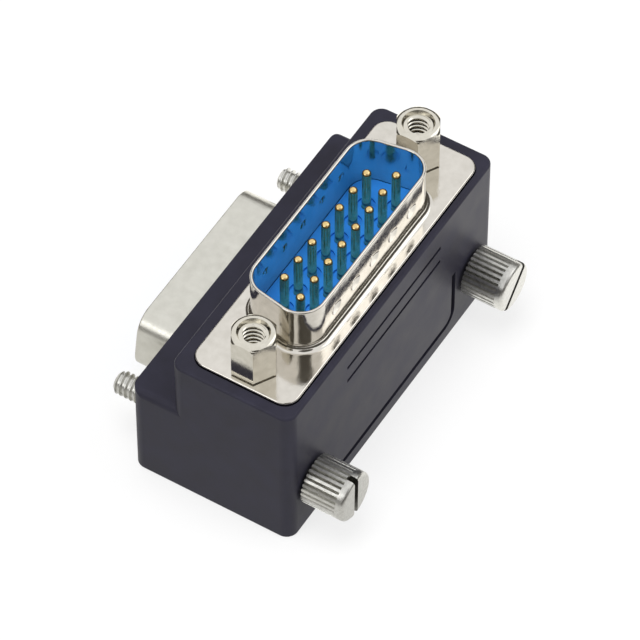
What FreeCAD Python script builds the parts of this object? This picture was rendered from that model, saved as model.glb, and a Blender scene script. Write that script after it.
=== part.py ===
import FreeCAD, Part
import math
import os
import Sketcher

from FreeCAD import Matrix, Placement, Rotation, Vector

# Right-angle adapter with a 15-way male D connector on top and a 15-way female one on the front.
# The origin is on the flat underside, straight below the middle of the male connector.
# +Z is the way the male connector faces, +Y the way the female one faces, X runs along both.

# Driving dimensions, in millimetres and degrees
SIZES = [
    ("flange_width", 12.55, "connector flange, across"),
    ("flange_corner", 1.8, "corner radius of a flange"),
    ("front_sheet", 0.5, "sheet of a front shell's flange"),
    ("flange_edge_round", 0.2, "rounding of a front flange's outer edge"),
    ("rear_sheet", 0.35, "sheet of a rear shell"),
    ("hole_from_plug", 4.46, "fixing hole to the end of the male D, at half height"),
    ("hole_inset", 2.91, "fixing hole to the end of the flange"),
    ("shell_wall", 0.38, "wall of a drawn D shell"),
    ("flange_hole", 3.05, "diameter of a fixing hole in a flange"),
    ("side_slope", 10.0, "lean of the short sides of the D, in degrees"),
    ("pin_pitch", 2.77, "between contacts in a row"),
    ("row_gap", 2.84, "between the two rows of contacts"),
    ("plug_mid_width", 24.4, "male shell inside, at half height"),
    ("plug_height", 8.36, "male shell inside, across"),
    ("plug_corner", 2.6, "male shell inside corner radius"),
    ("plug_rise", 6.1, "male shell above its flange"),
    ("plug_foot", 0.8, "radius where the male shell meets its flange"),
    ("plug_face_drop", 0.3, "male insulator face below the flange's top"),
    ("dimple_pitch", 3.8, "between the dimples of the male shell"),
    ("dimple_rise", 3.1, "dimples above the flange"),
    ("dimple_radius", 0.95, "radius of a dimple at the wall"),
    ("dimple_depth", 0.3, "depth of a dimple"),
    ("bump_height", 0.16, "height of a dimple's bump inside the shell"),
    ("socket_mid_width", 23.7, "female shell outside, at half height"),
    ("socket_height", 7.9, "female shell outside, across"),
    ("socket_corner", 2.5, "female shell outside corner radius"),
    ("socket_rise", 6.05, "female shell beyond its flange"),
    ("socket_foot", 0.5, "radius where the female shell meets its flange"),
    ("socket_face_proud", 0.06, "female insulator beyond its shell"),
    ("rim_round", 0.17, "rounding of a shell's rim"),
    ("insulator_play", 0.05, "insulator to shell, each side"),
    ("insulator_lip", 0.35, "insulator body beyond the shell's opening"),
    ("insulator_split", 2.4, "back of the front insulator behind the flange"),
    ("insulator_back", 4.4, "back of the rear insulator behind the flange"),
    ("rear_shell_depth", 4.0, "rear edge of a rear shell behind the flange"),
    ("pin_diameter", 1.02, "male contact"),
    ("pin_tip_rise", 5.15, "male contact tip above the flange"),
    ("pin_tip_round", 0.36, "rounding of a male contact's tip"),
    ("pin_well", 2.0, "moulded well round a male contact"),
    ("pin_well_depth", 0.3, "depth of that well"),
    ("shoulder_side", 1.4, "square shoulder of a male contact, across its flats"),
    ("tail_side", 0.7, "side of the square bent tail of a male contact"),
    ("tail_bend", 1.2, "inner bend radius of a tail"),
    ("tail_entry", 1.5, "length of a tail inside a solder cup"),
    ("contact_side", 1.5, "square female contact, across its flats"),
    ("contact_bore", 1.08, "bore of a female contact"),
    ("contact_bore_depth", 5.0, "depth of that bore"),
    ("contact_set_back", 0.95, "front of a female contact behind the insulator's face"),
    ("entry_hole", 1.2, "hole in the female insulator's face"),
    ("cup_side", 1.4, "square solder cup of a female contact"),
    ("cup_inside", 1.0, "inside of a solder cup"),
    ("cup_length", 2.2, "solder cup behind the contact's body"),
    ("contact_play", 0.03, "contact to its hole in an insulator, all round"),
    ("jack_across", 4.68, "hex jack socket across its flats"),
    ("jack_rise", 5.6, "hex jack socket above the flange"),
    ("jack_top_round", 4.3, "diameter of a jack socket's round top"),
    ("jack_top_chamfer", 0.4, "height of its top chamfer"),
    ("jack_thread_bore", 2.36, "threaded hole of a jack socket, at the crests"),
    ("jack_thread_depth", 5.2, "depth of that hole"),
    ("jack_mouth", 3.3, "diameter of the hole's countersunk mouth"),
    ("jack_foot_chamfer", 0.25, "chamfer under the hex"),
    ("screw_thread", 2.76, "outside of the fixing threads"),
    ("jack_stud_length", 3.2, "stud below a jack socket"),
    ("nut_across", 4.4, "nut across its flats"),
    ("nut_thickness", 2.2, "nut that a jack socket is screwed into"),
    ("nut_play", 0.04, "stud to nut, all round"),
    ("socket_axis_height", 6.65, "female connector's middle above the underside"),
    ("head_diameter", 5.8, "knurled head of a thumbscrew"),
    ("head_length", 5.15, "length of that head"),
    ("head_gap", 0.3, "head to housing at rest"),
    ("head_chamfer", 0.45, "chamfer of a head's ends"),
    ("thread_start", 0.6, "start of the screw's thread beyond the female flange"),
    ("thread_length", 4.5, "thread at the screw's tip, with its chamfer"),
    ("neck_depth", 0.2, "depth of the neck behind that thread"),
    ("ring_collar", 0.4, "collar between the ring's groove and that neck"),
    ("knurl_count", 30, "ribs round a head"),
    ("knurl_share", 0.72, "width of a groove of the knurl, as a share of its pitch"),
    ("knurl_depth", 0.26, "depth of the knurl"),
    ("knurl_start", 0.35, "plain band at a head's inner end"),
    ("knurl_stop", 1.0, "plain band at a head's outer end"),
    ("driver_slot_width", 1.1, "screwdriver slot"),
    ("driver_slot_depth", 1.4, "depth of that slot"),
    ("driver_slot_turn_left", 88.0, "how far the left screw's slot is turned"),
    ("driver_slot_turn_right", -46.0, "how far the right screw's slot is turned"),
    ("screw_tip_chamfer", 0.4, "chamfer of the tip"),
    ("screw_bore_play", 0.08, "screw to its bore in the housing, all round"),
    ("ring_outer", 4.6, "retaining ring outside"),
    ("ring_thickness", 0.42, "retaining ring"),
    ("ring_groove_depth", 0.38, "groove that the ring sits in"),
    ("ring_play", 0.04, "ring to its groove, each way"),
    ("ring_gap", 1.9, "opening of the ring"),
    ("ring_front_room", 0.38, "ring to the rear shell at rest"),
    ("ring_back_room", 2.0, "ring to its shoulder at rest"),
    ("ring_side_room", 0.25, "ring to the wall of its pocket"),
    ("end_rim", 1.38, "housing beyond the flange pocket at each end"),
    ("back_reach", 7.15, "housing behind the male connector's middle"),
    ("front_reach", 7.75, "upper housing in front of that middle"),
    ("ledge_reach", 12.9, "ledge in front of that middle"),
    ("ledge_height", 13.3, "top of the ledge above the underside"),
    ("body_height", 20.78, "height of the housing"),
    ("upright_round", 1.4, "radius of the housing's upright corners"),
    ("top_round", 0.3, "radius of the housing's top edge"),
    ("ledge_end_round", 0.9, "radius of the ledge's two end edges"),
    ("foot_round", 0.2, "radius of the housing's bottom edge"),
    ("male_proud", 0.37, "male flange above the rim of its pocket"),
    ("female_sink", 0.6, "female flange below the rim of its pocket"),
    ("pocket_play", 0.1, "flange to its pocket, each side"),
    ("opening_play", 0.1, "rear shell to the housing, each side"),
    ("opening_depth", 4.8, "D opening behind the flange's face"),
    ("wall", 1.7, "housing wall round the wiring space"),
    ("space_past_plug", 0.7, "wiring space past the end of the male D, at half height"),
    ("space_overlap", 0.8, "wiring space into the D openings"),
    ("nut_seat_play", 0.05, "nut to its seat in the housing, each side"),
    ("line_half_length", 9.6, "half the length of the two lines on the back"),
    ("line_width", 0.5, "width of a line on the back"),
    ("line_depth", 0.4, "depth of a line on the back"),
    ("upper_line_height", 17.57, "upper of the two lines"),
    ("lower_line_height", 15.35, "lower of the two lines"),
    ("skirt_half_width", 12.65, "half the width of the U-shaped line"),
    ("skirt_line_width", 0.75, "width of the U-shaped line itself"),
    ("skirt_left_top", 5.4, "upper end of the U-shaped line on the left"),
    ("skirt_right_top", 9.8, "its upper end on the right"),
    ("skirt_bottom", 2.1, "bottom of the U-shaped line"),
    ("skirt_corner", 1.7, "corner radius of the U-shaped line"),
]

CONTACTS_IN_WIDE_ROW = 8
CONTACTS_IN_NARROW_ROW = 7
DIMPLES_IN_A_ROW = 5

doc = FreeCAD.newDocument("right_angle_adapter")
sheet = doc.addObject("Spreadsheet::Sheet", "Sizes")
for row, (alias, number, meaning) in enumerate(SIZES, start=1):
    sheet.set(f"A{row}", str(number))
    sheet.setAlias(f"A{row}", alias)
    sheet.set(f"B{row}", meaning)
doc.recompute()


class Size:
    """A number together with the sheet expression that gives it."""

    def __init__(self, value, text):
        self.value = float(value)
        self.text = text

    def __add__(self, other):
        other = as_size(other)
        return Size(self.value + other.value, f"({self.text} + {other.text})")

    def __sub__(self, other):
        other = as_size(other)
        return Size(self.value - other.value, f"({self.text} - {other.text})")

    def __mul__(self, other):
        other = as_size(other)
        return Size(self.value * other.value, f"({self.text} * {other.text})")

    def __truediv__(self, other):
        other = as_size(other)
        return Size(self.value / other.value, f"({self.text} / {other.text})")

    def __neg__(self):
        return Size(-self.value, f"(0 - {self.text})")


def as_size(value):
    if isinstance(value, Size):
        return value
    return Size(value, repr(float(value)))


def size(alias):
    return Size(float(sheet.get(alias)), f"Sizes.{alias}")


def tangent_of(angle):
    return Size(math.tan(math.radians(angle.value)), f"tan({angle.text})")


def cosine_of(angle):
    return Size(math.cos(math.radians(angle.value)), f"cos({angle.text})")


def spot(x, y):
    return Vector(as_size(x).value, as_size(y).value, 0)


# Bodies, sketches and features

def new_body(name, place=None):
    body = doc.addObject("PartDesign::Body", name)
    body.Label = name
    if place is not None:
        place(body)
    return body


def new_sketch(body, name, plane, offset=None):
    sketch = body.newObject("Sketcher::SketchObject", f"{body.Name}_{name}")
    support = [item for item in body.Origin.OriginFeatures if item.Role == plane]
    sketch.AttachmentSupport = [(support[0], "")]
    sketch.MapMode = "FlatFace"
    if offset is not None:
        sketch.setExpression("AttachmentOffset.Base.z", as_size(offset).text)
    return sketch


def pin_down(sketch, kind, first, amount):
    """Adds a dimension to the sketch and ties it to the sheet."""
    amount = as_size(amount)
    number = sketch.addConstraint(Sketcher.Constraint(kind, *first, amount.value))
    sketch.setExpression(f"Constraints[{number}]", amount.text)


def pin_point(sketch, geometry, end, x, y):
    pin_down(sketch, "DistanceX", (-1, 1, geometry, end), x)
    pin_down(sketch, "DistanceY", (-1, 1, geometry, end), y)


def circle(sketch, x, y, diameter):
    diameter = as_size(diameter)
    ring = Part.Circle(spot(x, y), Vector(0, 0, 1), diameter.value / 2)
    number = sketch.addGeometry(ring, False)
    pin_point(sketch, number, 3, x, y)
    pin_down(sketch, "Diameter", (number,), diameter)


def corner_arc(before, corner, after, radius):
    """Ends of a rounded corner, its arc, and whether that arc runs backwards along the outline."""
    back = (before - corner).normalize()
    ahead = (after - corner).normalize()
    half_angle = back.getAngle(ahead) / 2
    start = corner + back * (radius / math.tan(half_angle))
    stop = corner + ahead * (radius / math.tan(half_angle))
    middle = corner + (back + ahead).normalize() * (radius / math.sin(half_angle))
    backwards = back.cross(ahead).z > 0
    first, last = (stop, start) if backwards else (start, stop)
    from_angle = math.atan2(first.y - middle.y, first.x - middle.x)
    to_angle = math.atan2(last.y - middle.y, last.x - middle.x)
    if to_angle < from_angle:
        to_angle += 2 * math.pi
    arc = Part.ArcOfCircle(Part.Circle(middle, Vector(0, 0, 1), radius), from_angle, to_angle)
    return start, stop, arc, backwards


def outline(sketch, corners):
    """A closed outline through corners (x, y) or (x, y, radius), every one tied to the sheet."""
    count = len(corners)
    points = [spot(item[0], item[1]) for item in corners]
    starts = list(points)
    stops = list(points)
    arcs = {}
    for number, item in enumerate(corners):
        if len(item) > 2:
            around = points[number - 1], points[number], points[(number + 1) % count]
            starts[number], stops[number], curve, backwards = corner_arc(*around, item[2].value)
            arcs[number] = (curve, backwards)
    lines = []
    for number in range(count):
        edge = Part.LineSegment(stops[number], starts[(number + 1) % count])
        lines.append(sketch.addGeometry(edge, False))
    for number, item in enumerate(corners):
        incoming = lines[number - 1]
        outgoing = lines[number]
        if number not in arcs:
            sketch.addConstraint(Sketcher.Constraint("Coincident", incoming, 2, outgoing, 1))
            pin_point(sketch, outgoing, 1, item[0], item[1])
            continue
        curve, backwards = arcs[number]
        arc = sketch.addGeometry(curve, False)
        first, last = (2, 1) if backwards else (1, 2)
        sketch.addConstraint(Sketcher.Constraint("Tangent", incoming, 2, arc, first))
        sketch.addConstraint(Sketcher.Constraint("Tangent", arc, last, outgoing, 1))
        pin_down(sketch, "Radius", (arc,), item[2])
        point = sketch.addGeometry(Part.Point(points[number]), True)
        sketch.addConstraint(Sketcher.Constraint("PointOnObject", point, 1, incoming))
        sketch.addConstraint(Sketcher.Constraint("PointOnObject", point, 1, outgoing))
        pin_point(sketch, point, 1, item[0], item[1])


def rectangle(left, bottom, right, top, radius=None):
    corners = [(left, bottom), (right, bottom), (right, top), (left, top)]
    if radius is None:
        return corners
    return [(x, y, radius) for x, y in corners]


def centred_rectangle(length, width, radius=None):
    return rectangle(-length / 2, -width / 2, length / 2, width / 2, radius)


def hexagon(middle_x, middle_y, across):
    """A hexagon with two of its flats facing along the first axis."""
    side = across / math.sqrt(3)
    half = across / 2
    steps = [(half, -side / 2), (half, side / 2), (0, side), (-half, side / 2), (-half, -side / 2), (0, -side)]
    return [(as_size(middle_x) + step_x, as_size(middle_y) + step_y) for step_x, step_y in steps]


def pad(body, sketch, name, length):
    feature = body.newObject("PartDesign::Pad", f"{body.Name}_{name}")
    feature.Profile = sketch
    feature.setExpression("Length", as_size(length).text)
    doc.recompute()
    return feature


def volume_of(body):
    return body.Shape.Volume


def pocket(body, sketch, name, length=None, both_ways=False, reverse=False):
    """Cuts to a length, or through everything, and checks that something was cut."""
    doc.recompute()
    before = volume_of(body)
    feature = body.newObject("PartDesign::Pocket", f"{body.Name}_{name}")
    feature.Profile = sketch
    if length is None:
        feature.Type = "ThroughAll"
    else:
        feature.setExpression("Length", as_size(length).text)
    feature.Reversed = reverse
    if both_ways:
        feature.SideType = "Symmetric"
    doc.recompute()
    if volume_of(body) > before - 1e-4:
        raise ValueError(f"{feature.Name} cut nothing")
    return feature


def revolve(body, sketch, name, kind="PartDesign::Revolution", axis="V_Axis"):
    doc.recompute()
    feature = body.newObject(kind, f"{body.Name}_{name}")
    feature.Profile = sketch
    feature.ReferenceAxis = (sketch, [axis])
    feature.Angle = 360
    doc.recompute()
    return feature


def edges_where(body, test):
    """Names of the body's edges whose ends and middle all pass the test."""
    names = []
    for number, edge in enumerate(body.Shape.Edges, start=1):
        middle = edge.valueAt((edge.FirstParameter + edge.LastParameter) / 2)
        if all(test(point) for point in [vertex.Point for vertex in edge.Vertexes] + [middle]):
            names.append(f"Edge{number}")
    if not names:
        raise ValueError(f"{body.Name} has no such edge")
    return names


def dress_edges(body, kind, name, test, amount):
    local = body.Placement.inverse()
    names = edges_where(body, lambda point: test(local.multVec(point)))
    base = body.Tip
    feature = body.newObject(f"PartDesign::{kind}", f"{body.Name}_{name}")
    feature.Base = (base, names)
    feature.setExpression("Radius" if kind == "Fillet" else "Size", as_size(amount).text)
    doc.recompute()
    return feature


def near(first, second):
    return abs(first - second) < 1e-4


# Where things are

body_height = size("body_height")
ledge_reach = size("ledge_reach")
flange_height = body_height + size("male_proud")
flange_front = ledge_reach - size("female_sink")
socket_axis = size("socket_axis_height")
screw_x = size("plug_mid_width") / 2 + size("hole_from_plug")
flange_half = screw_x + size("hole_inset")
half_length = flange_half + size("pocket_play") + size("end_rim")
plate_stack = size("front_sheet") + size("rear_sheet")
socket_face = size("socket_rise") + size("socket_face_proud")

# The female connector and the screws are made upright and then laid over to face +Y.
FACING_FRONT = Rotation(Matrix(-1, 0, 0, 0, 0, 0, 1, 0, 0, 1, 0, 0, 0, 0, 0, 1))


def placed(x, y, z, rotation=None):
    """Ties a body's place to the sheet."""
    def place(body):
        spots = [as_size(item) for item in (x, y, z)]
        base = Vector(*[item.value for item in spots])
        body.Placement = Placement(base, rotation or Rotation())
        for letter, item in zip("xyz", spots):
            body.setExpression(f"Placement.Base.{letter}", item.text)
    return place


def on_top(x=0, y=0):
    return placed(x, y, flange_height)


def on_front(x=0, z=0):
    """x and z are measured as seen from the front, from the female connector's middle."""
    return placed(-as_size(x), flange_front, socket_axis + z, FACING_FRONT)


def contact_spots():
    """Row and place of each contact, seen from outside with the wide side of the D down."""
    rows = [("wide", CONTACTS_IN_WIDE_ROW, -0.5), ("narrow", CONTACTS_IN_NARROW_ROW, 0.5)]
    for row_name, count, side in rows:
        for number in range(count):
            step = number - (count - 1) / 2
            yield row_name, size("pin_pitch") * step, size("row_gap") * side


def contact_places():
    for _, x, y in contact_spots():
        yield x, y


# The D form

def d_corners(mid_width, height, corner):
    lean = height / 2 * tangent_of(size("side_slope"))
    wide = mid_width / 2 + lean
    narrow = mid_width / 2 - lean
    half = height / 2
    return [
        (-wide, -half, corner),
        (wide, -half, corner),
        (narrow, half, corner),
        (-narrow, half, corner),
    ]


def grown(form, amount):
    """The same D with its wall moved out by an amount."""
    mid_width, height, corner = form
    wider = mid_width + as_size(amount) * 2 / cosine_of(size("side_slope"))
    return wider, height + as_size(amount) * 2, corner + amount


plug_inside = (size("plug_mid_width"), size("plug_height"), size("plug_corner"))
socket_outside = (size("socket_mid_width"), size("socket_height"), size("socket_corner"))
socket_inside = grown(socket_outside, -size("shell_wall"))


# Connector shells and insulators, each made upright with the flange's outer face at zero

def flange_outline(sketch):
    outline(sketch, centred_rectangle(flange_half * 2, size("flange_width"), size("flange_corner")))
    for side in (-1, 1):
        circle(sketch, screw_x * side, 0, size("flange_hole"))


def front_shell(name, place, inside, rise, foot):
    """A flange plate and a D wall drawn from one sheet."""
    body = new_body(name, place)
    flange = new_sketch(body, "flange_outline", "XY_Plane", -size("front_sheet"))
    flange_outline(flange)
    pad(body, flange, "flange", size("front_sheet"))
    wall = new_sketch(body, "wall_outline", "XY_Plane", -size("front_sheet"))
    outline(wall, d_corners(*grown(inside, size("shell_wall"))))
    pad(body, wall, "wall", size("front_sheet") + rise)
    mouth = new_sketch(body, "mouth_outline", "XY_Plane", rise)
    outline(mouth, d_corners(*inside))
    pocket(body, mouth, "mouth")
    reach = screw_x.value - size("flange_hole").value / 2

    def at_foot(point):
        flat_side = abs(point.y) < size("flange_width").value / 2 - 0.01
        return near(point.z, 0) and abs(point.x) < reach - 0.01 and flat_side

    def at_outline(point):
        past_hole = abs(point.x) > screw_x.value + size("flange_hole").value / 2 + 0.01
        past_sides = abs(point.y) > size("flange_width").value / 2 - 0.01
        return near(point.z, 0) and (past_hole or past_sides)

    dress_edges(body, "Fillet", "outline_edges", at_outline, size("flange_edge_round"))
    dress_edges(body, "Fillet", "foot", at_foot, foot)
    dress_edges(body, "Fillet", "rim", lambda point: near(point.z, rise.value), size("rim_round"))
    return body


def cap_profile(sketch, face, tip, radius):
    """Half of a shallow ball cap: its flat side at face, its crown at tip, on the sketch's first axis."""
    face, tip, radius = as_size(face), as_size(tip), as_size(radius)
    depth = abs(tip.value - face.value)
    inward = 1 if tip.value > face.value else -1
    ball = (radius.value ** 2 + depth ** 2) / (2 * depth)
    middle = Vector(tip.value - inward * ball, 0, 0)
    slant = math.asin(radius.value / ball)
    angles = (0, slant) if inward > 0 else (math.pi - slant, math.pi)
    arc = sketch.addGeometry(Part.ArcOfCircle(Part.Circle(middle, Vector(0, 0, 1), ball), *angles), False)
    crown, rim = (1, 2) if inward > 0 else (2, 1)
    base = sketch.addGeometry(Part.LineSegment(Vector(face.value, radius.value, 0), Vector(face.value, 0, 0)), False)
    axis = sketch.addGeometry(Part.LineSegment(Vector(face.value, 0, 0), Vector(tip.value, 0, 0)), False)
    sketch.addConstraint(Sketcher.Constraint("Coincident", arc, rim, base, 1))
    sketch.addConstraint(Sketcher.Constraint("Coincident", base, 2, axis, 1))
    sketch.addConstraint(Sketcher.Constraint("Coincident", axis, 2, arc, crown))
    sketch.addConstraint(Sketcher.Constraint("PointOnObject", arc, 3, -1))
    pin_point(sketch, base, 1, face, radius)
    pin_point(sketch, base, 2, face, 0)
    pin_point(sketch, axis, 2, tip, 0)


def dimples(body, inside):
    """Rows of dimples pressed inwards through both long sides of the male shell."""
    height = inside[1]
    first_x = size("dimple_pitch") * (-(DIMPLES_IN_A_ROW - 1) / 2)
    span = size("dimple_pitch") * (DIMPLES_IN_A_ROW - 1)
    radius = size("dimple_radius")
    for label, side in (("back", -1), ("front", 1)):
        inner = height / 2 * side
        outer = (height / 2 + size("shell_wall")) * side
        rise = size("bump_height") * side
        sink = size("dimple_depth") * side
        bury = size("shell_wall") / 2 * side
        parts = [
            ("bump", "PartDesign::Revolution", inner + bury, inner - rise, radius),
            ("dent", "PartDesign::Groove", outer, outer - sink, radius),
        ]
        features = []
        for word, kind, face, crown, reach in parts:
            sketch = new_sketch(body, f"{label}_{word}_outline", "YZ_Plane", first_x)
            sketch.setExpression("AttachmentOffset.Base.y", size("dimple_rise").text)
            cap_profile(sketch, face, crown, reach)
            features.append(revolve(body, sketch, f"{label}_{word}", kind, "H_Axis"))
            doc.recompute()
        row = body.newObject("PartDesign::LinearPattern", f"{body.Name}_{label}_row")
        row.Originals = features
        row.Direction = (features[0].Profile[0], ["N_Axis"])
        row.setExpression("Length", span.text)
        row.Occurrences = int(DIMPLES_IN_A_ROW)
        body.Tip = row
        doc.recompute()


def rear_shell(name, place, inside):
    """A plate behind the front shell's flange with a D collar round the insulators."""
    body = new_body(name, place)
    opening = grown(grown(inside, size("insulator_lip")), size("insulator_play"))
    plate = new_sketch(body, "plate_outline", "XY_Plane", -plate_stack)
    flange_outline(plate)
    pad(body, plate, "plate", size("rear_sheet"))
    collar = new_sketch(body, "collar_outline", "XY_Plane", -size("rear_shell_depth"))
    outline(collar, d_corners(*grown(opening, size("rear_sheet"))))
    pad(body, collar, "collar", size("rear_shell_depth") - size("front_sheet"))
    hole = new_sketch(body, "opening_outline", "XY_Plane", 0)
    outline(hole, d_corners(*opening))
    pocket(body, hole, "opening")
    return body


def contact_holes(body, name, level, diameter, length=None):
    sketch = new_sketch(body, f"{name}_outline", "XY_Plane", level)
    for x, y in contact_places():
        circle(sketch, x, y, diameter)
    return pocket(body, sketch, name, length)


def square_holes(body, name, level, side, length=None, reverse=False):
    sketch = new_sketch(body, f"{name}_outline", "XY_Plane", level)
    half = as_size(side) / 2
    for x, y in contact_places():
        outline(sketch, rectangle(x - half, y - half, x + half, y + half))
    return pocket(body, sketch, name, length, reverse=reverse)


def front_insulator(name, place, inside, face):
    """The moulding that shows in the connector's mouth. face is its outer face above the flange."""
    body = new_body(name, place)
    block = new_sketch(body, "block_outline", "XY_Plane", -size("insulator_split"))
    outline(block, d_corners(*grown(inside, size("insulator_lip"))))
    pad(body, block, "block", size("insulator_split") - size("front_sheet"))
    boss = new_sketch(body, "boss_outline", "XY_Plane", -size("insulator_split"))
    outline(boss, d_corners(*grown(inside, -size("insulator_play"))))
    pad(body, boss, "boss", size("insulator_split") + face)
    return body


def rear_insulator(name, place, inside, hole):
    """The moulding that holds the contacts from behind."""
    body = new_body(name, place)
    block = new_sketch(body, "block_outline", "XY_Plane", -size("insulator_back"))
    outline(block, d_corners(*grown(inside, size("insulator_lip"))))
    pad(body, block, "block", size("insulator_back") - size("insulator_split"))
    square_holes(body, "holes", -size("insulator_split"), hole)
    return body


def male_connector():
    shell = front_shell("male_shell", on_top(), plug_inside, size("plug_rise"), size("plug_foot"))
    dimples(shell, plug_inside)
    rear_shell("male_rear_shell", on_top(), plug_inside)
    face = -size("plug_face_drop")
    insulator = front_insulator("male_insulator", on_top(), plug_inside, face)
    play = size("contact_play") * 2
    contact_holes(insulator, "holes", face, size("pin_diameter") + play)
    contact_holes(insulator, "wells", face, size("pin_well"), size("pin_well_depth"))
    rear_insulator("male_rear_insulator", on_top(), plug_inside, size("shoulder_side") + play)


def female_connector():
    rise = size("socket_rise")
    front_shell("female_shell", on_front(), socket_inside, rise, size("socket_foot"))
    rear_shell("female_rear_shell", on_front(), socket_inside)
    insulator = front_insulator("female_insulator", on_front(), socket_inside, socket_face)
    play = size("contact_play") * 2
    chamber = size("contact_side") + play
    contact_holes(insulator, "entries", socket_face, size("entry_hole"))
    depth = size("insulator_split") + socket_face - size("contact_set_back") + size("contact_play")
    square_holes(insulator, "chambers", -size("insulator_split"), chamber, depth, reverse=True)
    rear_insulator("female_rear_insulator", on_front(), socket_inside, chamber)


# Contacts

def male_contact(number, row_name, x, y):
    """A turned pin with a square shoulder, whose tail bends forward into the female contact's solder cup."""
    body = new_body(f"male_contact_{number:02d}", on_top(x, y))
    pin = size("pin_diameter") / 2
    tip = size("pin_tip_rise")
    split = -size("insulator_split")
    back = -(size("insulator_back") - size("contact_play"))
    profile = new_sketch(body, "pin_outline", "XZ_Plane")
    outline(profile, [
        (0, split),
        (pin, split),
        (pin, tip, size("pin_tip_round")),
        (0, tip),
    ])
    revolve(body, profile, "pin")
    shoulder = new_sketch(body, "shoulder_outline", "XY_Plane", back)
    outline(shoulder, centred_rectangle(size("shoulder_side"), size("shoulder_side")))
    pad(body, shoulder, "shoulder", split - back)
    side = -1 if row_name == "wide" else 1
    level = socket_axis + size("row_gap") * (side / 2) - flange_height
    reach = flange_front - size("insulator_back") - size("cup_length") + size("tail_entry") - y
    half = size("tail_side") / 2
    inner_bend = size("tail_bend")
    bent = new_sketch(body, "tail_outline", "YZ_Plane")
    outline(bent, [
        (-half, back),
        (-half, level - half, inner_bend + size("tail_side")),
        (reach, level - half),
        (reach, level + half),
        (half, level + half, inner_bend),
        (half, back),
    ])
    tail = pad(body, bent, "tail", size("tail_side"))
    tail.SideType = "Symmetric"
    doc.recompute()


def female_contact(number, x, y):
    """A socket with a square outside, a round bore and a solder cup behind."""
    body = new_body(f"female_contact_{number:02d}", on_front(x, y))
    front = socket_face - size("contact_set_back")
    back = -size("insulator_back")
    block = new_sketch(body, "block_outline", "XY_Plane", back)
    outline(block, centred_rectangle(size("contact_side"), size("contact_side")))
    pad(body, block, "block", front - back)
    cup = new_sketch(body, "cup_outline", "XY_Plane", back)
    outline(cup, centred_rectangle(size("cup_side"), size("cup_side")))
    outline(cup, centred_rectangle(size("cup_inside"), size("cup_inside")))
    cup_wall = pad(body, cup, "cup", size("cup_length"))
    cup_wall.Reversed = True
    bore = new_sketch(body, "bore_outline", "XY_Plane", front)
    circle(bore, 0, 0, size("contact_bore"))
    pocket(body, bore, "bore", size("contact_bore_depth"))


def contacts():
    for number, (row_name, x, y) in enumerate(contact_spots(), start=1):
        male_contact(number, row_name, x, y)
        female_contact(number, -x, y)


# Jack sockets and their nuts

def pair(name, source):
    """The left-hand piece and its twin on the right, as one node of two solids."""
    twin = doc.addObject("Part::Mirroring", f"{name}_right")
    twin.Source = source
    twin.Normal = Vector(1, 0, 0)
    both = doc.addObject("Part::Compound", name)
    both.Links = [source, twin]
    both.Label = name
    return both


def jack_socket():
    body = new_body("left_jack_socket", on_top(-screw_x))
    rise = size("jack_rise")
    across = size("jack_across")
    block = new_sketch(body, "hex_outline", "XY_Plane")
    outline(block, hexagon(0, 0, across))
    pad(body, block, "hex", rise)
    dress_edges(body, "Chamfer", "foot", lambda point: near(point.z, 0), size("jack_foot_chamfer"))
    stud = new_sketch(body, "stud_outline", "XY_Plane", -size("jack_stud_length"))
    circle(stud, 0, 0, size("screw_thread"))
    pad(body, stud, "stud", size("jack_stud_length") + rise / 2)
    bore = new_sketch(body, "bore_outline", "XZ_Plane")
    mouth = size("jack_mouth") / 2
    crest = size("jack_thread_bore") / 2
    outline(bore, [
        (0, rise - size("jack_thread_depth")),
        (crest, rise - size("jack_thread_depth")),
        (crest, rise - (mouth - crest)),
        (mouth, rise),
        (0, rise),
    ])
    revolve(body, bore, "bore", "PartDesign::Groove")
    shoulder = new_sketch(body, "top_outline", "XZ_Plane")
    round_top = size("jack_top_round") / 2
    outline(shoulder, [
        (round_top, rise),
        (across, rise),
        (across, rise - size("jack_top_chamfer") * 2),
    ])
    before = volume_of(body)
    revolve(body, shoulder, "top", "PartDesign::Groove")
    if volume_of(body) > before - 1e-3:
        raise ValueError("the jack socket's top isn't chamfered")
    return pair("jack_sockets", body)


def jack_nut():
    body = new_body("left_jack_nut", on_top(-screw_x))
    block = new_sketch(body, "hex_outline", "XY_Plane", -plate_stack - size("nut_thickness"))
    outline(block, hexagon(0, 0, size("nut_across")))
    circle(block, 0, 0, size("screw_thread") + size("nut_play") * 2)
    pad(body, block, "hex", size("nut_thickness"))
    return pair("jack_nuts", body)


# Thumbscrews and the rings that hold them in

ring_back = flange_front - plate_stack - size("ring_front_room") - size("ring_thickness")
groove_radius = size("screw_thread") / 2 - size("ring_groove_depth")
screw_bore = size("screw_thread") + size("screw_bore_play") * 2


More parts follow.
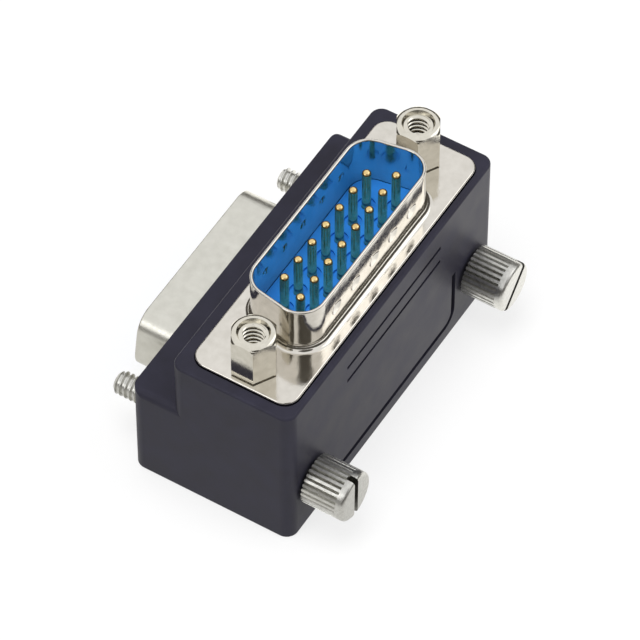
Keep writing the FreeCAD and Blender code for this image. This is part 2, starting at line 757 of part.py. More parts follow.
def thumbscrew(side_name, side, turn):
    """Made along its own upright axis, with zero at the male connector's middle."""
    laid = FACING_FRONT.multiply(Rotation(Vector(0, 0, 1), turn.value))
    body = new_body(f"{side_name}_thumbscrew", placed(screw_x * side, 0, socket_axis, laid))
    head = size("head_diameter") / 2
    shank = size("screw_thread") / 2
    seat = -(size("back_reach") + size("head_gap"))
    end = seat - size("head_length")
    thread_start = flange_front + size("thread_start")
    tip = thread_start + size("thread_length")
    neck = shank - size("neck_depth")
    chamfer = size("head_chamfer")
    tip_chamfer = size("screw_tip_chamfer")
    play = size("ring_play")
    ring_front = ring_back + size("ring_thickness")
    profile = new_sketch(body, "screw_outline", "XZ_Plane")
    outline(profile, [
        (0, end),
        (head - chamfer, end),
        (head, end + chamfer),
        (head, seat - chamfer),
        (head - chamfer, seat),
        (shank, seat),
        (shank, ring_back - play),
        (groove_radius, ring_back - play),
        (groove_radius, ring_front + play),
        (shank, ring_front + play),
        (shank, ring_front + play + size("ring_collar")),
        (neck, ring_front + play + size("ring_collar")),
        (neck, thread_start),
        (shank, thread_start),
        (shank, tip - tip_chamfer),
        (shank - tip_chamfer, tip),
        (0, tip),
    ])
    revolve(body, profile, "screw")
    knurl = new_sketch(body, "knurl_outline", "XY_Plane", seat - size("knurl_start"))
    depth = size("knurl_depth")
    half_width = head * math.pi / size("knurl_count") * size("knurl_share")
    outline(knurl, [
        (head - depth, 0),
        (head + depth / 2, half_width),
        (head + depth / 2, -half_width),
    ][::-1])
    ribbed = size("head_length") - size("knurl_start") - size("knurl_stop")
    cut = pocket(body, knurl, "knurl", ribbed)
    ribs = body.newObject("PartDesign::PolarPattern", f"{body.Name}_ribs")
    ribs.Originals = [cut]
    ribs.Axis = (knurl, ["N_Axis"])
    ribs.Angle = 360
    ribs.Occurrences = int(size("knurl_count").value)
    body.Tip = ribs
    doc.recompute()
    slot = new_sketch(body, "slot_outline", "XY_Plane", end)
    outline(slot, centred_rectangle(head * 3, size("driver_slot_width")))
    pocket(body, slot, "slot", size("driver_slot_depth"), reverse=True)


def retaining_ring(side_name, side):
    """An open ring that clips into the screw's groove."""
    body = new_body(f"{side_name}_retaining_ring", placed(screw_x * side, 0, socket_axis, FACING_FRONT))
    ring = new_sketch(body, "ring_outline", "XY_Plane", ring_back)
    circle(ring, 0, 0, size("ring_outer"))
    circle(ring, 0, 0, (groove_radius + size("ring_play")) * 2)
    pad(body, ring, "ring", size("ring_thickness"))
    gap = new_sketch(body, "gap_outline", "XY_Plane", ring_back + size("ring_thickness"))
    half_gap = size("ring_gap") / 2
    outline(gap, rectangle(-half_gap, 0, half_gap, size("ring_outer")))
    pocket(body, gap, "gap")


# Housing

def housing():
    """A stepped moulding with a pocket for each connector and a space for the bent tails."""
    body = new_body("housing")
    back = -size("back_reach")
    corner = size("upright_round")
    lower = new_sketch(body, "lower_outline", "XY_Plane")
    outline(lower, rectangle(-half_length, back, half_length, ledge_reach, corner))
    pad(body, lower, "lower", size("ledge_height"))
    round_ledge_ends(body)
    upper = new_sketch(body, "upper_outline", "XY_Plane")
    outline(upper, rectangle(-half_length, back, half_length, size("front_reach"), corner))
    pad(body, upper, "upper", body_height)
    top_level = body_height.value
    dress_edges(body, "Fillet", "top_edges", lambda point: near(point.z, top_level), size("top_round"))
    dress_edges(body, "Fillet", "bottom_edges", lambda point: near(point.z, 0), size("foot_round"))
    connector_pockets(body)
    wiring_space(body)
    screw_passages(body)
    back_lines(body)


def round_ledge_ends(body):
    ends = new_sketch(body, "ledge_ends", "XZ_Plane")
    radius = size("ledge_end_round")
    level = size("ledge_height")
    for side in (-1, 1):
        outline(ends, [
            ((half_length - radius * 2) * side, level),
            (half_length * side, level, radius),
            (half_length * side, level - radius * 2),
            ((half_length + radius) * side, level - radius * 2),
            ((half_length + radius) * side, level + radius),
            ((half_length - radius * 2) * side, level + radius),
        ])
    depth = ledge_reach + size("back_reach")
    pocket(body, ends, "ledge_ends_round", depth * 2, both_ways=True)


def connector_pockets(body):
    """Each flange lies in a shallow pocket, and each rear shell passes through a D opening in its floor."""
    gap = size("pocket_play") * 2
    rim = centred_rectangle(
        flange_half * 2 + gap,
        size("flange_width") + gap,
        size("flange_corner") + size("pocket_play"),
    )
    sunk = size("female_sink")
    proud = size("male_proud")
    around = size("insulator_lip") + size("insulator_play") + size("rear_sheet") + size("opening_play")
    top = new_sketch(body, "top_pocket_outline", "XY_Plane", body_height)
    outline(top, rim)
    pocket(body, top, "top_pocket", plate_stack - proud)
    top_opening = new_sketch(body, "top_opening_outline", "XY_Plane", body_height)
    outline(top_opening, d_corners(*grown(plug_inside, around)))
    pocket(body, top_opening, "top_opening", size("opening_depth") - proud)
    front = new_sketch(body, "front_pocket_outline", "XZ_Plane", -ledge_reach)
    outline(front, [(x, y + socket_axis, corner) for x, y, corner in rim])
    pocket(body, front, "front_pocket", plate_stack + sunk, reverse=True)
    front_opening = new_sketch(body, "front_opening_outline", "XZ_Plane", -ledge_reach)
    form = d_corners(*grown(socket_inside, around))
    outline(front_opening, [(x, y + socket_axis, corner) for x, y, corner in form])
    pocket(body, front_opening, "front_opening", size("opening_depth") + sunk, reverse=True)


def wiring_space(body):
    wall = size("wall")
    overlap = size("space_overlap")
    upper = flange_height - size("opening_depth") + overlap
    forward = flange_front - size("opening_depth") + overlap
    space = new_sketch(body, "space_outline", "YZ_Plane")
    outline(space, [
        (wall - size("back_reach"), wall),
        (forward, wall),
        (forward, size("ledge_height") - wall),
        (size("front_reach") - wall, size("ledge_height") - wall),
        (size("front_reach") - wall, upper),
        (wall - size("back_reach"), upper),
    ])
    length = size("plug_mid_width") + size("space_past_plug") * 2
    pocket(body, space, "space", length, both_ways=True)


def screw_passages(body):
    """Bores for the thumbscrews, pockets for their rings, and seats for the nuts under the jack sockets."""
    bores = new_sketch(body, "screw_bores", "XZ_Plane", size("back_reach"))
    ring_pockets = new_sketch(body, "ring_pockets", "XZ_Plane", -(flange_front - plate_stack))
    seats = new_sketch(body, "nut_seats", "XY_Plane", flange_height - plate_stack)
    studs = new_sketch(body, "stud_holes", "XY_Plane", flange_height - plate_stack)
    for side in (-1, 1):
        x = screw_x * side
        circle(bores, x, socket_axis, screw_bore)
        circle(ring_pockets, x, socket_axis, size("ring_outer") + size("ring_side_room") * 2)
        outline(seats, hexagon(x, 0, size("nut_across") + size("nut_seat_play") * 2))
        circle(studs, x, 0, screw_bore)
    pocket(body, bores, "screw_bores")
    ring_room = size("ring_front_room") + size("ring_thickness") + size("ring_back_room")
    pocket(body, ring_pockets, "ring_pockets", ring_room, reverse=True)
    pocket(body, seats, "nut_seats", size("nut_thickness"))
    pocket(body, studs, "stud_holes", size("jack_stud_length"))


def back_lines(body):
    """Two straight lines and a U-shaped one sunk into the back."""
    half = size("line_width") / 2
    reach = size("line_half_length")
    lines = new_sketch(body, "lines_outline", "XZ_Plane", size("back_reach"))
    for height in (size("upper_line_height"), size("lower_line_height")):
        outline(lines, rectangle(-reach, height - half, reach, height + half))
    side = size("skirt_half_width")
    bottom = size("skirt_bottom")
    left_top = size("skirt_left_top")
    right_top = size("skirt_right_top")
    corner = size("skirt_corner")
    half = size("skirt_line_width") / 2
    outline(lines, [
        (-side - half, left_top),
        (-side - half, bottom - half, corner + half),
        (side + half, bottom - half, corner + half),
        (side + half, right_top),
        (side - half, right_top),
        (side - half, bottom + half, corner - half),
        (half - side, bottom + half, corner - half),
        (half - side, left_top),
    ])
    pocket(body, lines, "lines", size("line_depth"))


# Build

housing()
male_connector()
female_connector()
contacts()
jack_socket()
jack_nut()
for side_name, side in (("left", -1), ("right", 1)):
    thumbscrew(side_name, side, size(f"driver_slot_turn_{side_name}"))
    retaining_ring(side_name, side)
doc.recompute()

# Checks and export

paired = {"left_jack_socket", "left_jack_nut"}
nodes = [item for item in doc.Objects if item.isDerivedFrom("PartDesign::Body") and item.Name not in paired]
nodes += [item for item in doc.Objects if item.isDerivedFrom("Part::Compound")]
failed = [item.Name for item in doc.Objects if "Invalid" in item.State or "Error" in item.State]
if failed:
    raise ValueError(f"these objects failed: {failed}")
for node in nodes:
    if node.Shape.isNull() or not node.Shape.isValid():
        raise ValueError(f"{node.Label} has no valid shape")

os.makedirs("parts", exist_ok=True)
for node in nodes:
    node.Shape.exportStep(os.path.join("parts", f"{node.Label}.step"))
print(f"{len(nodes)} nodes written")
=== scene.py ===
import math

import bpy
from mathutils import Matrix, Vector


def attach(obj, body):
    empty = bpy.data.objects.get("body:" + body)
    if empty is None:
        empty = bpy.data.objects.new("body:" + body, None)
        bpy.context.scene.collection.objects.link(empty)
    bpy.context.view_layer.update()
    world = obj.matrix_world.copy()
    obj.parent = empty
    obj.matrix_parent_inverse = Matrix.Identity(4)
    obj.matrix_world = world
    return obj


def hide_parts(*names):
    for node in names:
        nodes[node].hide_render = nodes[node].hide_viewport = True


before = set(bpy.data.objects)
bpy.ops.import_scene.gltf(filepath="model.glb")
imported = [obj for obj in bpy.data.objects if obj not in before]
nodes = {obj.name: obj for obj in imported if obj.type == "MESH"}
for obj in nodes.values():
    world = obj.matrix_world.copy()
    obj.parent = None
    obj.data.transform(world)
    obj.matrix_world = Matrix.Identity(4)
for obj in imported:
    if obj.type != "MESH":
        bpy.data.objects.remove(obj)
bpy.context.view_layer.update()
bpy.ops.object.select_all(action="DESELECT")
MM = 0.001

# Camera, from the upper back left as in the photograph

look_at = Vector((-6.95, -2.13, 19.65)) * MM
camera_place = Vector((-307.55, -186.65, 468.18)) * MM
bpy.ops.object.camera_add(location=camera_place)
camera = bpy.context.object
camera.data.lens = 304
camera.data.clip_start = 0.01
camera.data.clip_end = 20
camera.rotation_euler = (look_at - camera_place).to_track_quat("-Z", "Y").to_euler()
bpy.context.scene.camera = camera
bpy.context.scene.view_settings.view_transform = "Standard"


# Materials

def new_finish(name, metallic=0.0, specular=0.5):
    """A material with its shader and an Object coordinate to hang textures on."""
    material = bpy.data.materials.new(name)
    material.use_nodes = True
    shader = material.node_tree.nodes["Principled BSDF"]
    shader.inputs["Metallic"].default_value = metallic
    shader.inputs["Specular IOR Level"].default_value = specular
    place = material.node_tree.nodes.new("ShaderNodeTexCoord")
    return material, shader, place.outputs["Object"]


def mottle(material, vector, grain_mm, detail=3.0):
    """A noise whose blotches are about grain_mm wide."""
    noise = material.node_tree.nodes.new("ShaderNodeTexNoise")
    noise.inputs["Scale"].default_value = 1 / (grain_mm * MM)
    noise.inputs["Detail"].default_value = detail
    material.node_tree.links.new(vector, noise.inputs["Vector"])
    return noise.outputs["Fac"]


def two_tones(material, factor, dark, light):
    """A slow change from the dark tone to the light one."""
    ramp = material.node_tree.nodes.new("ShaderNodeValToRGB")
    ramp.color_ramp.elements[0].position = 0.3
    ramp.color_ramp.elements[0].color = (*dark, 1)
    ramp.color_ramp.elements[1].position = 0.7
    ramp.color_ramp.elements[1].color = (*light, 1)
    material.node_tree.links.new(factor, ramp.inputs["Fac"])
    return ramp.outputs["Color"]


def between(material, factor, low, high):
    """The noise's middle range spread over low to high."""
    spread = material.node_tree.nodes.new("ShaderNodeMapRange")
    spread.inputs["From Min"].default_value = 0.3
    spread.inputs["From Max"].default_value = 0.7
    spread.inputs["To Min"].default_value = low
    spread.inputs["To Max"].default_value = high
    material.node_tree.links.new(factor, spread.inputs["Value"])
    return spread.outputs["Result"]


def relief(material, factor, height_mm, under=None):
    """A bump of the given height, which may lie on top of another one."""
    bump = material.node_tree.nodes.new("ShaderNodeBump")
    bump.inputs["Distance"].default_value = height_mm * MM
    material.node_tree.links.new(factor, bump.inputs["Height"])
    if under:
        material.node_tree.links.new(under, bump.inputs["Normal"])
    return bump.outputs["Normal"]


def plated(name, dark, light, smooth, dull, grain_mm=1.2, pit_mm=0.004):
    """Bright plating: a slow change of tone and gloss, with fine pits and long waves under it."""
    material, shader, place = new_finish(name, metallic=1.0)
    links = material.node_tree.links
    cloud = mottle(material, place, grain_mm)
    links.new(two_tones(material, cloud, dark, light), shader.inputs["Base Color"])
    drawn = mottle(material, place, grain_mm / 3)
    links.new(between(material, drawn, smooth, dull), shader.inputs["Roughness"])
    pits = mottle(material, place, grain_mm / 8, detail=4)
    waves = relief(material, mottle(material, place, grain_mm * 2, detail=1), grain_mm / 30)
    links.new(relief(material, pits, pit_mm, under=waves), shader.inputs["Normal"])
    return material


def moulded(name, dark, light, smooth, dull, grain_mm=0.25, depth_mm=0.006, specular=0.5):
    """Moulded plastic: an even tone with a fine spark-eroded grain."""
    material, shader, place = new_finish(name, specular=specular)
    links = material.node_tree.links
    cloud = mottle(material, place, grain_mm * 12)
    links.new(two_tones(material, cloud, dark, light), shader.inputs["Base Color"])
    links.new(between(material, cloud, smooth, dull), shader.inputs["Roughness"])
    grain = mottle(material, place, grain_mm, detail=2)
    links.new(relief(material, grain, depth_mm), shader.inputs["Normal"])
    return material


# Each finish: its dark and light tone, its smoothest and dullest roughness, and its grain

black_housing = moulded(
    "black_housing", (0.020, 0.019, 0.029), (0.027, 0.026, 0.041), 0.40, 0.48, specular=0.17,
)
blue_insulator = moulded(
    "blue_insulator", (0.026, 0.24, 0.80), (0.036, 0.28, 0.86), 0.3, 0.4,
    grain_mm=0.4, depth_mm=0.003, specular=0.15,
)
black_insulator = moulded(
    "black_insulator", (0.012, 0.012, 0.014), (0.022, 0.022, 0.026), 0.4, 0.5,
)
bright_nickel = plated("bright_nickel", (0.66, 0.63, 0.575), (0.74, 0.71, 0.655), 0.06, 0.13)
socket_nickel = plated("socket_nickel", (0.66, 0.63, 0.55), (0.74, 0.71, 0.63), 0.08, 0.16, 0.8)
satin_nickel = plated("satin_nickel", (0.66, 0.65, 0.59), (0.74, 0.73, 0.67), 0.28, 0.38)
turned_nickel = plated(
    "turned_nickel", (0.58, 0.575, 0.545), (0.74, 0.735, 0.70), 0.27, 0.38, 0.35, pit_mm=0.0025,
)
# A darker nickel for the inside of the driver slot: painted shade in the recess
slot_shade_nickel = plated("slot_shade_nickel", (0.18, 0.175, 0.16), (0.28, 0.27, 0.25), 0.35, 0.5, 0.35)
contact_gold = plated("contact_gold", (0.72, 0.50, 0.20), (0.88, 0.68, 0.34), 0.12, 0.26, 0.5)
nut_brass = plated("nut_brass", (0.55, 0.40, 0.16), (0.66, 0.50, 0.22), 0.25, 0.35, 0.6)
spring_steel = plated("spring_steel", (0.45, 0.45, 0.46), (0.58, 0.58, 0.59), 0.25, 0.35, 0.5)

FINISHES = {
    "housing": black_housing,
    "male_insulator": blue_insulator,
    "female_insulator": blue_insulator,
    "male_rear_insulator": black_insulator,
    "female_rear_insulator": black_insulator,
    "male_shell": bright_nickel,
    "female_shell": satin_nickel,
    "male_rear_shell": satin_nickel,
    "female_rear_shell": satin_nickel,
    "jack_sockets": socket_nickel,
    "jack_nuts": nut_brass,
    "left_thumbscrew": turned_nickel,
    "right_thumbscrew": turned_nickel,
    "left_retaining_ring": spring_steel,
    "right_retaining_ring": spring_steel,
}
for name, node in nodes.items():
    finish = contact_gold if "_contact_" in name else FINISHES[name]
    node.data.materials.clear()
    node.data.materials.append(finish)


# Sizes in millimetres that the new pieces share with the solids

SCREW_X = 16.66
FLANGE_TOP = 21.15
SCREW_HEIGHT = 6.65
HEAD_SEAT = -7.45
HEAD_END = HEAD_SEAT - 5.15
SLOT_DEPTH = 1.1
SLOT_HALF_WIDTH = 0.35
DEGREES_PER_RIB = 12
SOCKET_RISE = 5.6
SOCKET_ACROSS = 4.68
THREAD_RADIUS = 1.38
PITCH = 0.635
STEPS_PER_TURN = 48


# Shaping tools

def chosen(piece, test):
    """Goes into edit mode with only the vertices that pass the test selected."""
    bpy.context.view_layer.objects.active = piece
    bpy.ops.object.mode_set(mode="EDIT")
    bpy.ops.mesh.select_mode(type="VERT")
    bpy.ops.mesh.select_all(action="DESELECT")
    bpy.ops.object.mode_set(mode="OBJECT")
    for vertex in piece.data.vertices:
        vertex.select = bool(test(vertex.co / MM))
    bpy.ops.object.mode_set(mode="EDIT")


def finished():
    """Goes back to object mode."""
    bpy.ops.object.mode_set(mode="OBJECT")


def turned_bar(name, radius, low, high, sides=96):
    """A round bar on the Z axis, in millimetres."""
    bpy.ops.mesh.primitive_cylinder_add(
        vertices=sides, radius=radius * MM, depth=(high - low) * MM,
        location=(0, 0, (low + high) / 2 * MM),
    )
    bar = bpy.context.object
    bar.name = name
    bpy.ops.object.transform_apply(location=True, rotation=True, scale=True)
    return bar


def ringed(piece, levels):
    """Cuts a ring of edges round the piece at each level."""
    for level in levels:
        chosen(piece, lambda spot: True)
        bpy.ops.mesh.bisect(plane_co=(0, 0, level * MM), plane_no=(0, 0, 1), threshold=1e-7)
        finished()


def squeezed(piece, test, share):
    """Draws the vertices that pass the test in towards the Z axis."""
    chosen(piece, test)
    bpy.ops.transform.resize(value=(share, share, 1), center_override=(0, 0, 0))
    finished()


def combined(piece, tool, operation):
    """Adds, cuts or keeps what is shared with the tool, which is used up."""
    modifier = piece.modifiers.new(operation.lower(), "BOOLEAN")
    modifier.operation = operation
    modifier.solver = "MANIFOLD"
    modifier.object = tool
    bpy.context.view_layer.objects.active = piece
    bpy.ops.object.modifier_apply(modifier=modifier.name)
    bpy.data.objects.remove(tool)
    return piece


def softened(piece, test, width, segments):
    """Bevels the edges between the vertices that pass the test."""
    chosen(piece, test)
    bpy.ops.mesh.bevel(offset=width * MM, segments=segments, profile=0.5)
    finished()


def helix(name, core, crest, low, turns):
    """A ridge of the thread's pitch that winds up the Z axis, closed at both ends."""
    bpy.ops.mesh.primitive_plane_add(size=1)
    ridge = bpy.context.object
    ridge.name = name
    half_foot = PITCH * 0.42
    half_crest = PITCH * 0.08
    corners = [(core, -half_foot), (crest, -half_crest), (core, half_foot), (crest, half_crest)]
    for vertex, (reach, level) in zip(ridge.data.vertices, corners):
        vertex.co = (reach * MM, 0, (low + level) * MM)
    winding = ridge.modifiers.new("winding", "SCREW")
    winding.angle = math.radians(360 * turns)
    winding.screw_offset = PITCH * turns * MM
    winding.steps = int(STEPS_PER_TURN * turns)
    winding.render_steps = winding.steps
    winding.use_merge_vertices = False
    bpy.context.view_layer.objects.active = ridge
    bpy.ops.object.modifier_apply(modifier=winding.name)
    chosen(ridge, lambda spot: True)
    bpy.ops.mesh.fill_holes(sides=0)
    bpy.ops.mesh.normals_make_consistent(inside=False)
    finished()
    return ridge


def cleaned(piece):
    """Merges doubled vertices and turns all faces outwards."""
    chosen(piece, lambda spot: True)
    bpy.ops.mesh.remove_doubles(threshold=0.0000005)
    bpy.ops.mesh.normals_make_consistent(inside=False)
    finished()


def smoothed(piece, degrees=25):
    """Smooth shading with the sharper edges kept."""
    bpy.ops.object.select_all(action="DESELECT")
    piece.select_set(True)
    bpy.context.view_layer.objects.active = piece
    bpy.ops.object.shade_smooth_by_angle(angle=math.radians(degrees))
    weighted = piece.modifiers.new("weighted", "WEIGHTED_NORMAL")
    weighted.keep_sharp = True
    bpy.ops.object.modifier_apply(modifier=weighted.name)


def dressed(piece, finish):
    """Leaves the piece with this one finish on all of its faces."""
    piece.data.materials.clear()
    piece.data.materials.append(finish)
    for face in piece.data.polygons:
        face.material_index = 0


def twin_of(piece, name):
    """A copy with its own mesh."""
    twin = piece.copy()
    twin.data = piece.data.copy()
    twin.name = name
    bpy.context.collection.objects.link(twin)
    return twin


def put(piece, name, place):
    """Moves the piece's mesh to its place, with the object left at the origin."""
    piece.name = name
    piece.matrix_world = place
    bpy.ops.object.select_all(action="DESELECT")
    piece.select_set(True)
    bpy.context.view_layer.objects.active = piece
    bpy.ops.object.transform_apply(location=True, rotation=True, scale=True)


# Hex jack sockets with their inside threads

def socket_tap():
    """The tool that cuts a jack socket's thread, with a counterbore at its mouth."""
    tap = turned_bar("tap", 1.16, SOCKET_RISE - 5.2, SOCKET_RISE + 0.2)
    groove = helix("tap_groove", 1.05, 1.46, SOCKET_RISE - 4.9, 7.6)
    combined(tap, groove, "UNION")
    counterbore = turned_bar("counterbore", 1.85, SOCKET_RISE - 0.45, SOCKET_RISE + 0.05)
    squeezed(counterbore, lambda spot: spot.z < SOCKET_RISE - 0.4, 0.86)
    return combined(tap, counterbore, "UNION")


def hex_jack_socket():
    """A socket on the Z axis with the flange's top at zero, and its stud below."""
    hexagon_reach = SOCKET_ACROSS / math.sqrt(3)
    socket = turned_bar("hex_socket", hexagon_reach, 0, SOCKET_RISE, sides=6)
    softened(socket, lambda spot: spot.z < 0.01, 0.2, segments=2)
    turned_top = turned_bar("turned_top", 2.72, -1, SOCKET_RISE)
    softened(turned_top, lambda spot: spot.z > SOCKET_RISE - 0.01, 0.7, segments=8)
    combined(socket, turned_top, "INTERSECT")
    stud = turned_bar("stud", THREAD_RADIUS, -3.2, SOCKET_RISE / 2)
    combined(socket, stud, "UNION")
    return combined(socket, socket_tap(), "DIFFERENCE")


left_socket = hex_jack_socket()
cleaned(left_socket)
smoothed(left_socket)
right_socket = twin_of(left_socket, "right_socket")
for piece, name, sideways in (
    (left_socket, "jack_sockets_threaded", -SCREW_X),
    (right_socket, "right_socket", SCREW_X),
):
    put(piece, name, Matrix.Translation(Vector((sideways, 0, FLANGE_TOP)) * MM))
bpy.ops.object.select_all(action="DESELECT")
left_socket.select_set(True)
right_socket.select_set(True)
bpy.context.view_layer.objects.active = left_socket
bpy.ops.object.join()
dressed(left_socket, socket_nickel)
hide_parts("jack_sockets")
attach(left_socket, "adapter")


# Knurled thumbscrews, made on the Z axis, which then becomes the front

def knurled_head():
    """A head with ribs up to its seat, slotted across its low end."""
    head = turned_bar("screw_head", 2.9, HEAD_END, HEAD_SEAT, sides=120)
    ribs_end = HEAD_END + 1.0
    ringed(head, (ribs_end, ribs_end + 0.05))

    def in_groove(spot):
        rib = math.degrees(math.atan2(spot.y, spot.x)) / DEGREES_PER_RIB
        off_middle = abs(rib - round(rib))
        return spot.z > ribs_end + 0.02 and off_middle > 0.3

    squeezed(head, in_groove, 0.855)
    softened(head, lambda spot: spot.z < HEAD_END + 0.01, 0.42, segments=4)
    slot = turned_bar("driver_slot", 4, HEAD_END - 1, HEAD_END + SLOT_DEPTH, sides=4)
    slot.rotation_euler.z = math.radians(45)
    bpy.ops.object.transform_apply(location=True, rotation=True, scale=True)
    slot_bar_half_side = 2.83
    slot.scale = (1.5, SLOT_HALF_WIDTH / slot_bar_half_side, 1)
    bpy.ops.object.transform_apply(location=True, rotation=True, scale=True)
    return combined(head, slot, "DIFFERENCE")


def grooved_shank():
    """A plain shank with the retaining ring's groove and the thinner neck behind the thread."""
    shank = turned_bar("shank", THREAD_RADIUS, HEAD_SEAT - 1.5, 13.2, sides=48)
    ringed(shank, (10.61, 10.65, 11.07, 11.11, 11.51, 11.55))
    squeezed(shank, lambda spot: 10.63 < spot.z < 11.09, 0.725)
    squeezed(shank, lambda spot: spot.z > 11.53, 0.855)
    return shank


def wound_thread():
    """The free threaded tip, trimmed to its outside radius and chamfered."""
    low = 12.9
    tip = 17.4
    thread = turned_bar("thread", 1.1, low, tip, sides=48)
    ridge = helix("thread_ridge", 1.0, THREAD_RADIUS, 12.5, 8.4)
    combined(thread, ridge, "UNION")
    outline = turned_bar("thread_outline", THREAD_RADIUS - 0.001, low, tip, sides=96)
    softened(outline, lambda spot: spot.z > tip - 0.01, 0.4, segments=1)
    return combined(thread, outline, "INTERSECT")


def painted_slot_shade(screw):
    """Gives the faces inside the driver slot a darker nickel, which is painted shade in the slot.
    """
    screw.data.materials.append(slot_shade_nickel)
    for face in screw.data.polygons:
        middle = face.center / MM
        deep_enough = HEAD_END + 0.02 < middle.z < HEAD_END + SLOT_DEPTH + 0.01
        if deep_enough and abs(middle.y) < SLOT_HALF_WIDTH + 0.002:
            face.material_index = 1


left_screw = knurled_head()
combined(left_screw, grooved_shank(), "UNION")
combined(left_screw, wound_thread(), "UNION")
cleaned(left_screw)
smoothed(left_screw)
dressed(left_screw, turned_nickel)
painted_slot_shade(left_screw)
right_screw = twin_of(left_screw, "right_screw")
laid_down = Matrix.Rotation(math.radians(-90), 4, "X")
for side, piece, sideways, slot_turn in (
    ("left", left_screw, -SCREW_X, 91),
    ("right", right_screw, SCREW_X, -46),
):
    turned = laid_down @ Matrix.Rotation(math.radians(slot_turn), 4, "Z")
    screw_axis = Matrix.Translation(Vector((sideways, 0, SCREW_HEIGHT)) * MM)
    put(piece, f"{side}_knurled_screw", screw_axis @ turned)
    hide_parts(f"{side}_thumbscrew")
    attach(piece, f"{side}_screw")


# Floor: it keeps the shadow, looks nearly white, and in the plating glows as a painted reflection
# that is brighter on the right

bpy.ops.mesh.primitive_plane_add(size=6, location=(0, 0, 0))
floor = bpy.context.object
floor.name = "floor"
pale_floor = bpy.data.materials.new("pale_floor")
pale_floor.use_nodes = True
floor_node = pale_floor.node_tree.nodes.new
floor_link = pale_floor.node_tree.links.new
floor_shader = pale_floor.node_tree.nodes["Principled BSDF"]
floor_shader.inputs["Base Color"].default_value = (0.9, 0.9, 0.9, 1)
floor_shader.inputs["Roughness"].default_value = 0.9
floor_rays = floor_node("ShaderNodeLightPath")

floor_place = floor_node("ShaderNodeTexCoord")
floor_across = floor_node("ShaderNodeSeparateXYZ")
floor_link(floor_place.outputs["Object"], floor_across.inputs["Vector"])
# The painted reflection: in the plating the floor glows from 0.80 on the left to 1.5 on the right
floor_fade = floor_node("ShaderNodeMapRange")
floor_fade.inputs["From Min"].default_value = -0.015
floor_fade.inputs["From Max"].default_value = 0.040
floor_fade.inputs["To Min"].default_value = 0.80
floor_fade.inputs["To Max"].default_value = 1.5
floor_link(floor_across.outputs["X"], floor_fade.inputs["Value"])
floor_reflection_glow = floor_node("ShaderNodeEmission")
floor_reflection_glow.inputs["Color"].default_value = (1.0, 0.99, 0.96, 1)
floor_link(floor_fade.outputs["Result"], floor_reflection_glow.inputs["Strength"])
lit_or_mirrored = floor_node("ShaderNodeMixShader")
floor_link(floor_rays.outputs["Is Glossy Ray"], lit_or_mirrored.inputs["Fac"])
floor_link(floor_shader.outputs["BSDF"], lit_or_mirrored.inputs[1])
floor_link(floor_reflection_glow.outputs["Emission"], lit_or_mirrored.inputs[2])

floor_white = floor_node("ShaderNodeEmission")
floor_white.inputs["Strength"].default_value = 1.0
share_of_white = floor_node("ShaderNodeMath")
share_of_white.operation = "MULTIPLY"
share_of_white.inputs[1].default_value = 0.7
floor_link(floor_rays.outputs["Is Camera Ray"], share_of_white.inputs[0])
floor_mix = floor_node("ShaderNodeMixShader")
floor_link(share_of_white.outputs[0], floor_mix.inputs["Fac"])
floor_link(lit_or_mirrored.outputs["Shader"], floor_mix.inputs[1])
floor_link(floor_white.outputs["Emission"], floor_mix.inputs[2])
floor_end = pale_floor.node_tree.nodes["Material Output"]
floor_link(floor_mix.outputs["Shader"], floor_end.inputs["Surface"])
floor.data.materials.append(pale_floor)

# World: soft light, and white for the camera, in plating and through clear things

world = bpy.data.worlds.new("studio")
bpy.context.scene.world = world
world.use_nodes = True
sky_node = world.node_tree.nodes.new
sky_link = world.node_tree.links.new
sky_light = world.node_tree.nodes["Background"]
sky_light.inputs["Color"].default_value = (1, 1, 1, 1)
sky_light.inputs["Strength"].default_value = 0.45
sky_white = sky_node("ShaderNodeBackground")
sky_white.inputs["Color"].default_value = (1, 1, 1, 1)
sky_rays = sky_node("ShaderNodeLightPath")
camera_or_glossy = sky_node("ShaderNodeMath")
camera_or_glossy.operation = "MAXIMUM"
sky_link(sky_rays.outputs["Is Camera Ray"], camera_or_glossy.inputs[0])
sky_link(sky_rays.outputs["Is Glossy Ray"], camera_or_glossy.inputs[1])
sky_seen = sky_node("ShaderNodeMath")
sky_seen.operation = "MAXIMUM"
sky_link(camera_or_glossy.outputs[0], sky_seen.inputs[0])
sky_link(sky_rays.outputs["Is Transmission Ray"], sky_seen.inputs[1])
sky_mix = sky_node("ShaderNodeMixShader")
sky_link(sky_seen.outputs[0], sky_mix.inputs["Fac"])
sky_link(sky_light.outputs["Background"], sky_mix.inputs[1])
sky_link(sky_white.outputs["Background"], sky_mix.inputs[2])
sky_end = world.node_tree.nodes["World Output"]
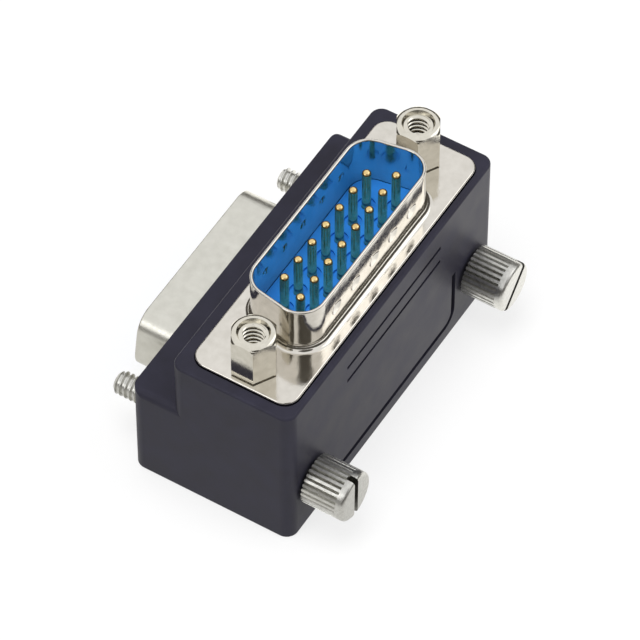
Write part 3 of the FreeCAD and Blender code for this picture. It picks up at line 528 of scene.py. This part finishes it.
sky_link(sky_mix.outputs["Shader"], sky_end.inputs["Surface"])

# Dark cloth with a faint warm glow that only the plating sees, for painted dark reflections: a
# band low round the studio and a card by the camera

dark_reflection_cloth = bpy.data.materials.new("dark_reflection_cloth")
dark_reflection_cloth.use_nodes = True
cloth_shader = dark_reflection_cloth.node_tree.nodes["Principled BSDF"]
cloth_shader.inputs["Base Color"].default_value = (0.02, 0.018, 0.015, 1)
cloth_shader.inputs["Emission Color"].default_value = (1.0, 0.92, 0.8, 1)
cloth_shader.inputs["Emission Strength"].default_value = 0.06


def hung_for_plating(cloth, name):
    """Makes the new cloth dark, and hidden from all but reflections."""
    cloth.name = name
    cloth.visible_camera = False
    cloth.visible_diffuse = False
    cloth.visible_shadow = False
    cloth.visible_transmission = False
    cloth.data.materials.append(dark_reflection_cloth)


# The band and the card show only as painted dark reflections in the plating
band_height = 0.44
bpy.ops.mesh.primitive_cylinder_add(
    vertices=64, radius=0.7, depth=band_height, end_fill_type="NOTHING",
    location=(0, 0, band_height / 2),
)
surround = bpy.context.object
hung_for_plating(surround, "dark_surround")

bpy.ops.mesh.primitive_circle_add(vertices=48, radius=0.19, fill_type="NGON", location=(0, 0, 0))
card = bpy.context.object
card.location = Vector((-0.42, -0.45, 0.787)) * 0.64
card.rotation_euler = card.location.to_track_quat("Z", "Y").to_euler()
hung_for_plating(card, "dark_card")

# Lamps, of which the two panels show in the plating

def lamp(name, place_mm, size_mm, watts, in_plating=False):
    """A square lamp that points at the middle of the object."""
    bpy.ops.object.light_add(type="AREA", location=Vector(place_mm) * MM)
    light = bpy.context.object
    light.name = name
    light.data.size = size_mm * MM
    light.data.energy = watts
    aim = Vector((0, 0, 12)) * MM - light.location
    light.rotation_euler = aim.to_track_quat("-Z", "Y").to_euler()
    light.visible_glossy = in_plating


lamp("overhead_lamp", (-60, 60, 520), 320, 1.8)
lamp("left_lamp", (-420, -40, 240), 260, 0.35)
lamp("right_lamp", (120, -420, 220), 260, 1.0)
lamp("left_panel", (-390, 160, 265), 200, 0.22, in_plating=True)
lamp("far_panel", (270, -165, 410), 240, 0.165, in_plating=True)
